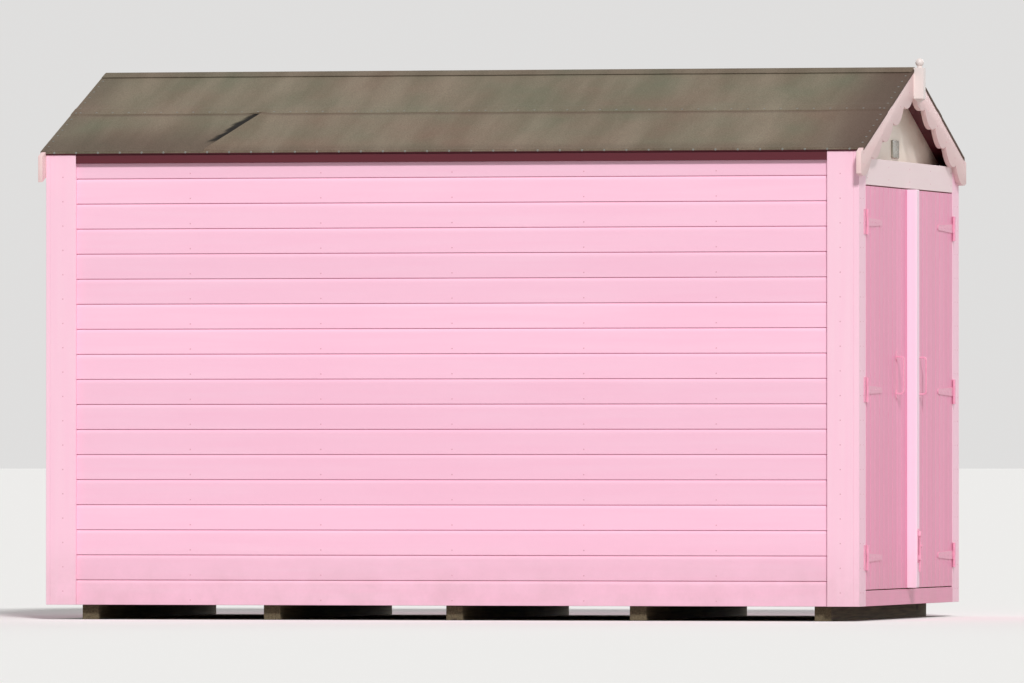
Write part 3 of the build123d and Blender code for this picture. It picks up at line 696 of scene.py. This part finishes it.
# Roofing felt: an upper sheet lapped over a lower course of two rolls
LAP_EDGE = 590 * MM  # across from the ridge to the upper sheet's lower edge
LAP_WIDTH = 75 * MM
LAP_START = LAP_EDGE - LAP_WIDTH
LAP_RAMP = 30 * MM
LAP_DROP = 1.5 * MM
EAVE_TURN = 10 * MM
EAVE_ROW = 4 * MM
EAVE_ROUND = 0.8 * MM
VERGE_TURN = 12 * MM
SHEET_PLAY = 0.2 * MM
END_LAP_FOOT = 1135 * MM  # the lower course's end lap at the eave, along the hut
END_LAP_HEAD = 1000 * MM  # and where it runs under the upper sheet
END_LAP_MIDDLE = (END_LAP_FOOT + END_LAP_HEAD) / 2
END_LAP_REACH = 350 * MM
END_CURL = 6 * MM
CURL_WIDTH = 50 * MM
# A dark band beside the end lap: tar, widened with painted shadow of the lifted edge
TAR_AND_SHADOW_WIDTH = 66 * MM
TAR_AND_SHADOW_FADE = 14 * MM
TAR_AND_SHADOW_RAG = 63 * MM
TAR_AND_SHADOW_LEAST = 0.85  # of the dark band's width, before its rag
TAR_AND_SHADOW_SWING = 0.35
TAR_AND_SHADOW_STOP = 130 * MM  # the dark band ends this far above the eave
NAILED = 100 * MM  # held flat this near to a nailed edge
GRID = 22 * MM
RIPPLE = 1.3 * MM
SWELL = (670 * MM, 180 * MM)  # across and along
WAVE = 110 * MM
WAVE_SHARE = 0.4
LIFTED = 0.5  # of a ripple, so that hollows stay above the boards
ROLL_TONES = {"upper": 0.5, "near": 0.3, "far": 0.55}
# Where the felt is darker and redder, as (how much, how far from the edge): damp, and along
# the front verge beside the bargeboard damp and painted shade
DAMP_AND_SHADE_FRONT = (1.0, 360 * MM)
DAMP_BACK = (0.5, 200 * MM)
DAMP_LAP = (0.6, 30 * MM)
DAMP_EAVE = (0.35, 90 * MM)
DAMP_FAR = (0.75, 450 * MM)
FULLY_DARK = 0.1  # of that distance, as dark as at the edge


def smooth(value, low, high):
    """Zero below low, one above high and an S curve between."""
    t = min(1.0, max(0.0, (value - low) / (high - low)))
    return t * t * (3 - 2 * t)


def damp_and_shade(zone, distance):
    """How dark the felt is made at a distance from an edge: damp, with painted shade in the front verge's
    zone.
    """
    amount, reach = zone
    return amount * (1 - smooth(distance, FULLY_DARK * reach, reach))


def end_lap_shift(across):
    """How far the end lap is off its middle line at this distance from the ridge."""
    t = (across - LAP_EDGE) / (half_eave - LAP_EDGE)
    return END_LAP_HEAD + (END_LAP_FOOT - END_LAP_HEAD) * t - END_LAP_MIDDLE


def felt_rise(sign, across, along, end_place):
    """Height of the felt's face square to the roof boards."""
    rise = roof_thickness + felt_thickness
    if across <= LAP_EDGE:
        rise += felt_thickness * smooth(across, LAP_START - LAP_RAMP, LAP_START)
    elif sign < 0 and along < end_place:
        end_start = end_place - LAP_WIDTH
        rise += felt_thickness * smooth(along, end_start - LAP_RAMP, end_start)
        rise += END_CURL * smooth(along, end_place - CURL_WIDTH, end_place)
    free = smooth(across, NAILED, 2 * NAILED)
    free *= 1 - smooth(across, half_eave - NAILED / 2, half_eave - NAILED / 10)
    free *= smooth(along, felt_front, felt_front + NAILED)
    free *= 1 - smooth(along, felt_back - NAILED, felt_back)
    swell = noise.noise((across / SWELL[0], along / SWELL[1], 3 * sign))
    wave = noise.noise((across / WAVE, along / WAVE, 5 + sign))
    return rise + free * RIPPLE * (LIFTED + swell + WAVE_SHARE * wave)


def tar_and_shadow_at(across, past_edge):
    """How much tar and painted shadow show beside the end lap, past its lifted edge: a ragged band that
    stops short of the eave.
    """
    rag = noise.noise((across / TAR_AND_SHADOW_RAG, 0, 1))
    width = TAR_AND_SHADOW_WIDTH * (TAR_AND_SHADOW_LEAST + TAR_AND_SHADOW_SWING * rag)
    band = smooth(past_edge, -LAP_DROP, 0) - smooth(past_edge, width - TAR_AND_SHADOW_FADE, width)
    stop = half_eave - TAR_AND_SHADOW_STOP
    return band * (1 - smooth(across, stop - TAR_AND_SHADOW_FADE, stop + 2 * TAR_AND_SHADOW_FADE))


def felted(piece, node):
    """Gives a sheet its thickness, downwards from its face, and puts it in the node's place."""
    thick = piece.modifiers.new("thickness", "SOLIDIFY")
    thick.thickness = felt_thickness - SHEET_PLAY
    thick.offset = -1
    plain_mesh(piece)
    put_in_place(piece, felt, node)


def felt_sheet(side, sign):
    """One slope's felt as a shell, turned down at the eave and over both verges."""
    acrosses = spread(0.0, LAP_START, GRID)[:-1] + spread(LAP_START, LAP_EDGE, GRID)
    acrosses += [LAP_EDGE + LAP_DROP / 2]
    acrosses += spread(LAP_EDGE + GRID / 2, half_eave - EAVE_ROW, GRID)
    acrosses += [half_eave, felt_edge - EAVE_ROUND, felt_edge]
    middle = END_LAP_MIDDLE
    tar_and_shadow_end = middle + TAR_AND_SHADOW_WIDTH * (TAR_AND_SHADOW_LEAST + TAR_AND_SHADOW_SWING)
    alongs = [felt_front, felt_front + MM]
    alongs += spread(felt_front + felt_thickness, leaf_face - MM, GRID) + [leaf_face + MM]
    alongs += spread(leaf_face + GRID, middle - LAP_DROP, GRID)
    alongs += [middle + MM] + spread(middle + GRID / 2, tar_and_shadow_end, GRID / 2)
    alongs += spread(tar_and_shadow_end + GRID, roof_back - GRID, GRID)
    alongs += [roof_back - MM, roof_back + MM]
    alongs += spread(roof_back + GRID / 2, felt_back - MM, GRID) + [felt_back]
    shape = bmesh.new()
    roll = shape.verts.layers.float.new("roll")
    edge = shape.verts.layers.float.new("edge")
    tar_and_shadow = shape.verts.layers.float.new("tar_and_shadow")

    def vertex(across, along, drop):
        """A point on the felt's face, or below it where the sheet is turned down."""
        shift = 0.0
        if sign < 0 and across > LAP_EDGE:
            near = 1 - smooth(abs(along - middle), TAR_AND_SHADOW_WIDTH, END_LAP_REACH)
            shift = end_lap_shift(across) * near
        rise = felt_rise(sign, across, along + shift, middle + shift)
        made = shape.verts.new((sign * across, along + shift, roof_line(across, rise) - drop))
        beyond = smooth(across, LAP_EDGE, LAP_EDGE + LAP_DROP / 2)
        far = sign < 0 and along > middle
        sheet = "upper" if across <= LAP_EDGE else "far" if far else "near"
        made[roll] = ROLL_TONES[sheet]
        # Beside the front bargeboard the darkening is damp and painted shade
        darkening = [damp_and_shade(DAMP_AND_SHADE_FRONT, along - felt_front), damp_and_shade(DAMP_BACK, felt_back - along)]
        darkening += [beyond * damp_and_shade(DAMP_LAP, across - LAP_EDGE), damp_and_shade(DAMP_EAVE, half_eave - across)]
        if sheet == "far":
            darkening.append(damp_and_shade(DAMP_FAR, half_eave - across))
        made[edge] = max(darkening)
        made[tar_and_shadow] = beyond * tar_and_shadow_at(across, along - middle) if sign < 0 else 0.0
        return made

    lines = [(felt_front, VERGE_TURN), *[(along, 0.0) for along in alongs], (felt_back, VERGE_TURN)]
    columns = [[vertex(across, *line) for across in acrosses] for line in lines]
    join_rows(shape, columns)
    apron_foot = roof_line(felt_edge, roof_thickness + felt_thickness) - EAVE_TURN
    apron = []
    for column in columns:
        lip = column[-1]
        if leaf_face < lip.co.y < roof_back:
            low = shape.verts.new((lip.co.x, lip.co.y, apron_foot))
            low[roll] = lip[roll]
            low[edge] = DAMP_EAVE[0]
            apron.append((lip, low))
    join_rows(shape, apron)
    if sign < 0:
        bmesh.ops.reverse_faces(shape, faces=shape.faces)
    felted(mesh_object(side + "_felt_sheet", shape), side + "_roof_felt")


for side, sign in SIDES:
    felt_sheet(side, sign)


CAP_STEPS = (0.04, 0.1, 0.2, 0.35, 0.55, 0.75, 0.9, 1.0)
CAP_FOLD = 10 * MM
CAP_WAVER = 1.5 * MM
CAP_LIFT = 0.25 * MM
CAP_WAVE = 140 * MM


def cap_sheet():
    """The strip of felt folded over the ridge, its cut edges a little wavy."""
    steps = [-step for step in reversed(CAP_STEPS)] + [0.0, *CAP_STEPS]
    shape = bmesh.new()
    roll = shape.verts.layers.float.new("roll")
    edge = shape.verts.layers.float.new("edge")
    under = roof_thickness + 2 * felt_thickness
    rows = []
    for along in spread(barge_face, back_barge_face, GRID):
        row = []
        for step in steps:
            waver = 1 + noise.noise((along / CAP_WAVE, step, 2))
            x = step * (half_cap - CAP_WAVER * waver)
            uneven = 1 + noise.noise((along / CAP_WAVE, 2 * step, 9))
            lift = CAP_LIFT * abs(step) * uneven
            folded = cap_top - (hypot(x, CAP_FOLD) - CAP_FOLD) * slope
            z = min(cap_top, max(roof_line(x, under), folded - MM) + lift)
            made = shape.verts.new((x, along, z))
            made[roll] = ROLL_TONES["upper"]
            made[edge] = DAMP_EAVE[0]
            row.append(made)
        rows.append(row)
    join_rows(shape, rows)
    felted(mesh_object("ridge_felt_cap", shape), "ridge_capping")


cap_sheet()


# Trim and joinery: copies of the solids with their edges eased
WELD = 0.01 * MM
FLAT_ANGLE = radians(1)
SHARP_ANGLE = radians(35)


def without_slivers(piece):
    """Takes out the faces without area that a clamped bevel leaves."""
    shape = bmesh.new()
    shape.from_mesh(piece.data)
    bmesh.ops.dissolve_degenerate(shape, dist=WELD, edges=shape.edges)
    shape.to_mesh(piece.data)
    shape.free()


EASED = 1.5 * MM
SAWN_EDGE = 2 * MM
ENAMEL_EDGE = 1 * MM
GRIP_EDGE = 0.7 * MM
PLATE_EDGE = 0.5 * MM
AS_CUT = 0
ROUND = 30  # degrees
TURNED = 28


def eased(node, material, width=EASED, segments=2, smooth_to=None):
    """A copy of the node's solid with its sharp edges rounded, in its place. Edges up to the
    angle smooth_to are shaded smooth."""
    shape = bmesh.new()
    shape.from_mesh(frame["nodes"][node].data)
    bmesh.ops.remove_doubles(shape, verts=shape.verts, dist=WELD)
    bmesh.ops.dissolve_limit(shape, angle_limit=FLAT_ANGLE, verts=shape.verts, edges=shape.edges)
    piece = mesh_object(node + "_finished", shape)
    if width:
        bevel = piece.modifiers.new("eased edges", "BEVEL")
        bevel.width = width
        bevel.segments = segments
        bevel.limit_method = "ANGLE"
        bevel.angle_limit = SHARP_ANGLE
        plain_mesh(piece)
        without_slivers(piece)
    if smooth_to:
        piece.data.shade_smooth()
        piece.data.set_sharp_from_angle(angle=radians(smooth_to))
    put_in_place(piece, material, node)


for side in ("front", "side", "back"):
    eased(side + "_corner_boards", trim_pink)
for node in ("left_bargeboard", "right_bargeboard", "back_bargeboards"):
    eased(node, verge_pink, smooth_to=ROUND)
eased("front_sill_board", door_pink_and_shade_level)
eased("eave_fascias", maroon)
eased("front_gable_frame", gable_paint)
eased("front_gable_panel", cream, AS_CUT)
eased("finial", white_turned, AS_CUT, smooth_to=TURNED)
eased("gable_plaque", enamel, ENAMEL_EDGE, smooth_to=ROUND)
eased("meeting_batten", batten_pink_and_highlight)
for side, _ in SIDES:
    eased(side + "_door_ledges", door_pink_and_shade_level)
    eased(side + "_hinge_straps", painted_steel, PLATE_EDGE, segments=1, smooth_to=ROUND)
eased("hinge_flanges", painted_steel, PLATE_EDGE, segments=1, smooth_to=ROUND)
for node in ("right_pull_handle", "left_handle_and_bolt"):
    eased(node, painted_steel, GRIP_EDGE, smooth_to=ROUND)
eased("door_jambs", whitewood["z"])
eased("door_head", door_head_paint)
eased("door_threshold", whitewood["x"])
eased("floor_bearers", treated["x"], SAWN_EDGE, segments=1)
eased("floor_joists", treated["y"], SAWN_EDGE, segments=1)
for side in ("left", "right", "back"):
    eased(side + "_wall_studs", whitewood["z"], segments=1)
for side, axis in (("left", "y"), ("right", "y"), ("back", "x")):
    eased(side + "_wall_rails", whitewood[axis], segments=1)
eased("front_corner_posts", whitewood["z"], segments=1)
eased("ridge_board", whitewood["y"], segments=1)
eased("rafters", rafter_paint, segments=1)

# Nails in the walls, where the studs are, and in the corner boards
NAIL_LIFT = 22 * MM  # above a weatherboard's lower edge
NAIL_INSET = 30 * MM  # from a board's edge
STUD = 45 * MM
SIDE_BAYS = 6
BACK_BAYS = 4
CORNER_BOARD = 118 * MM
NEARLY = 0.01  # of a board, so that rounding loses none


def stud_lines(first, last, bays):
    """The middle lines of a wall's studs between its ends."""
    bay = (last - first - STUD) / bays
    return [first + STUD / 2 + bay * i for i in range(1, bays)]


def nail_levels(top):
    """One nail in each weatherboard that reaches its full height below the top."""
    count = int((top - boards_foot) / board_cover + NEARLY)
    return [boards_foot + board_cover * i + NAIL_LIFT for i in range(count)]


wall_nails = []
corner_nails = []
for sign in (-1, 1):
    for y in stud_lines(frame_front, frame_back, SIDE_BAYS):
        wall_nails += [((sign * half_body, y, z), (sign, 0, 0)) for z in nail_levels(wall_height)]
    for z in spread(boards_foot + 2 * NAIL_INSET, fascia_foot - 2 * NAIL_INSET, board_cover):
        for y in (frame_front + CORNER_BOARD / 2, back_face - CORNER_BOARD / 2):
            corner_nails.append(((sign * half_corner, y, z), (sign, 0, 0)))
        for inset in (NAIL_INSET, CORNER_BOARD - NAIL_INSET):
            x = sign * (half_corner - inset)
            corner_nails.append(((x, leaf_face, z), -BACK))
            corner_nails.append(((x, roof_back, z), BACK))
for x in stud_lines(-half_frame, half_frame, BACK_BAYS):
    wall_nails += [((x, back_face, z), BACK) for z in nail_levels(roof_line(x))]
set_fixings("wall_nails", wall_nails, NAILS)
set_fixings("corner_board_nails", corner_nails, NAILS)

# Clout nails hold the felt along laps, eaves, verges and the capping
CLOUT_PITCH = 75 * MM
EAVE_CLOUT_PITCH = 100 * MM
CLOUT_INSET = 20 * MM
CLOUT_LIFT = 0.5 * MM
one_sheet = roof_thickness + felt_thickness + CLOUT_LIFT
two_sheets = one_sheet + felt_thickness
felt_nails = []
for sign in (-1, 1):
    upwards = slope_normal(sign)
    for y in spread(felt_front + 2 * CLOUT_INSET, felt_back - 2 * CLOUT_INSET, CLOUT_PITCH):
        for across in (LAP_EDGE - CLOUT_INSET, half_cap - CLOUT_INSET):
            felt_nails.append(((sign * across, y, roof_line(across, two_sheets)), upwards))
    eave_level = roof_line(half_eave, roof_thickness) - EAVE_TURN / 2
    for y in spread(leaf_face + 2 * CLOUT_INSET, roof_back - 2 * CLOUT_INSET, EAVE_CLOUT_PITCH):
        felt_nails.append(((sign * felt_edge, y, eave_level), (sign, 0, 0)))
    for across in spread(half_cap + 2 * CLOUT_INSET, half_eave - 3 * CLOUT_INSET, CLOUT_PITCH):
        lapped = LAP_START < across < LAP_EDGE
        z = roof_line(across, two_sheets if lapped else one_sheet)
        for y in (felt_front + CLOUT_INSET, felt_back - CLOUT_INSET):
            felt_nails.append(((sign * across, y, z), upwards))
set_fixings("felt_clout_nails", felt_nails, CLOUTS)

# Nails through the doors' boards into the ledges, and through the trim
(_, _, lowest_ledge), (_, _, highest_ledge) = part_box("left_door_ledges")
LEDGE = 95 * MM
half_way = (highest_ledge - lowest_ledge) / 2
ledge_levels = spread(lowest_ledge + LEDGE / 2, highest_ledge - LEDGE / 2, half_way)
for side, sign in SIDES:
    door_nails = []
    for i in range(LEAF_BOARDS):
        x = sign * (leaf_start + leaf_board * (i + 0.5))
        if batten_outer < x < batten_inner:
            continue
        for level in ledge_levels:
            for z in (level - NAIL_INSET, level + NAIL_INSET):
                door_nails.append(((x, leaf_face, z), -BACK))
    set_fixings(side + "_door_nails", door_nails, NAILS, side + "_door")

BARGE_NAIL_START = 110 * MM  # from the ridge
BARGE_NAIL_PITCH = 200 * MM
BARGE_NAIL_DEPTHS = (22 * MM, 68 * MM)  # below the bargeboard's upper edge
TRIM_NAIL_PITCH = 450 * MM
trim_nails = []
for sign in (-1, 1):
    for x in spread(BARGE_NAIL_START, half_barge - 2 * NAIL_INSET, BARGE_NAIL_PITCH):
        for depth in BARGE_NAIL_DEPTHS:
            z = roof_line(x, roof_thickness - depth)
            trim_nails.append(((sign * x, barge_face, z), -BACK))
            trim_nails.append(((sign * x, back_barge_face, z), BACK))
sill_level = (boards_foot + floor_top) / 2
board_nails = (head_board_foot + NAIL_INSET, head_board_foot + HEAD_BOARD - NAIL_INSET)
for x in spread(-leaf_edge + NAIL_INSET, leaf_edge - NAIL_INSET, TRIM_NAIL_PITCH):
    trim_nails += [((x, leaf_face, z), -BACK) for z in (sill_level, *board_nails)]
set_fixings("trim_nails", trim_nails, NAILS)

# Screws through the hinge straps, flanges, handle feet and bolt plate
STRAP = 3 * MM
STRAP_SCREWS = [40 * MM, 115 * MM, 190 * MM, 265 * MM]  # from the hinge line
FLANGE_SCREWS = [-38 * MM, 0.0, 38 * MM]
FLANGE_WIDTH = 33.5 * MM
HINGE_OFFSET = 2.5 * MM
HANDLE_SCREWS = [-97 * MM, -70 * MM, 70 * MM, 97 * MM]
BOLT_PLATE = 2.5 * MM
BOLT_SCREWS = [(x * MM, z * MM) for x in (-12.5, 12.5) for z in (257, 393)]
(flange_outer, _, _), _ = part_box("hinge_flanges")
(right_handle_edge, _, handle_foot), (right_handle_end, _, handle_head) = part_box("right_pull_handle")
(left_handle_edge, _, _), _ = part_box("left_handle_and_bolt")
handle_level = (handle_foot + handle_head) / 2
half_plate = (right_handle_end - right_handle_edge) / 2
handle_places = {"left": left_handle_edge + half_plate, "right": right_handle_edge + half_plate}
hinge_line = leaf_edge + HINGE_OFFSET
strap_face = leaf_face - STRAP
flange_screws = []
for side, sign in SIDES:
    door_screws = []
    flange_line = -sign * (flange_outer + FLANGE_WIDTH / 2)
    for level in ledge_levels:
        for step in STRAP_SCREWS:
            door_screws.append(((sign * (hinge_line - step), strap_face, level), -BACK))
        for step in FLANGE_SCREWS:
            flange_screws.append(((flange_line, strap_face, level + step), -BACK))
    for step in HANDLE_SCREWS:
        door_screws.append(((handle_places[side], strap_face, handle_level + step), -BACK))
    if side == "left":
        batten_middle = (batten_outer + batten_inner) / 2
        for x, z in BOLT_SCREWS:
            door_screws.append(((batten_middle + x, batten_face - BOLT_PLATE, z), -BACK))
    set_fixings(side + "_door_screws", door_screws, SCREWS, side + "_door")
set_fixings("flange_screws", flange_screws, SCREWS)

def aimed(name, data, source):
    """A lamp or camera at the origin, turned the way it would face from the source."""
    holder = new_object(name, data)
    holder.rotation_mode = "QUATERNION"
    holder.rotation_quaternion = Vector(source).to_track_quat("Z", "Y")
    return holder


# Camera at the photo's viewing angle
VIEW_TURN = 76.5  # degrees from the doors towards the left wall
VIEW_RISE = -0.5
VIEW_DISTANCE = 60.0
FRAME_WIDTH = 4.58
AIM_HEIGHT = 1.235
NEAREST = 1.0
FARTHEST = 2000.0
turn = radians(VIEW_TURN)
rise = radians(VIEW_RISE)
towards = Vector((-sin(turn) * cos(rise), -cos(turn) * cos(rise), sin(rise)))
camera_data = bpy.data.cameras.new("camera")
camera_data.lens = camera_data.sensor_width * VIEW_DISTANCE / FRAME_WIDTH
camera_data.clip_start = NEAREST
camera_data.clip_end = FARTHEST
camera = aimed("camera", camera_data, towards)
camera.location = AIM_HEIGHT * UP + VIEW_DISTANCE * towards
bpy.context.scene.camera = camera

# Studio: a pale floor, a soft key from the left of the doors, two weak fills, an even surround.
# A lamp is (where it shines from, its level, its softness in degrees). At a level of one it
# lights a white face white.
LAMPS = {
    "key": ((-1.0, -0.45, 0.9), 0.78, 9),
    "side_fill": ((0.9, -0.5, 0.4), 0.20, 40),
    "back_fill": ((0.8, 0.9, 0.5), 0.14, 40),
}
SURROUND = 0.30
BACKDROP = 0.74
FLOOR_SEEN = "#F6F5F3"
FLOOR_BOUNCE = "#CFCDCA"
FLOOR_RADIUS = 900.0
FLOOR_SIDES = 96
for name, (source, level, softness) in LAMPS.items():
    lamp = bpy.data.lights.new(name, "SUN")
    lamp.energy = level * pi
    lamp.angle = radians(softness)
    aimed(name, lamp, source)

floor_material, tree = new_material("studio_floor")
path = add(tree, "ShaderNodeLightPath")
pales = {"Factor": path.outputs["Is Camera Ray"], "A": linear(FLOOR_BOUNCE), "B": linear(FLOOR_SEEN)}
pale = add(tree, "ShaderNodeMix", pales, data_type="RGBA")
matt = add(tree, "ShaderNodeBsdfDiffuse", {"Color": pale})
add(tree, "ShaderNodeOutputMaterial", {"Surface": matt})
shape = bmesh.new()
bmesh.ops.create_circle(shape, cap_ends=True, segments=FLOOR_SIDES, radius=FLOOR_RADIUS)
studio_floor = mesh_object("studio_floor", shape)
studio_floor.data.materials.append(floor_material)

world = bpy.data.worlds.new("surround")
world.use_nodes = True
tree = world.node_tree
tree.nodes.clear()
path = add(tree, "ShaderNodeLightPath")
seen = path.outputs["Is Camera Ray"]
for ray in ("Is Glossy Ray", "Is Transmission Ray"):
    seen = add(tree, "ShaderNodeMath", {0: seen, 1: path.outputs[ray]}, operation="MAXIMUM")
light = add(tree, "ShaderNodeBackground", {"Color": linear("#FFFFFF"), "Strength": SURROUND})
backdrop = add(tree, "ShaderNodeBackground", {"Color": linear("#FFFEFD"), "Strength": BACKDROP})
both = add(tree, "ShaderNodeMixShader", {"Fac": seen, 1: light, 2: backdrop})
add(tree, "ShaderNodeOutputWorld", {"Surface": both})
bpy.context.scene.world = world
bpy.context.scene.view_settings.view_transform = "Standard"

for head, _, _ in (NAILS, CLOUTS, SCREWS):
    bpy.data.objects.remove(head)
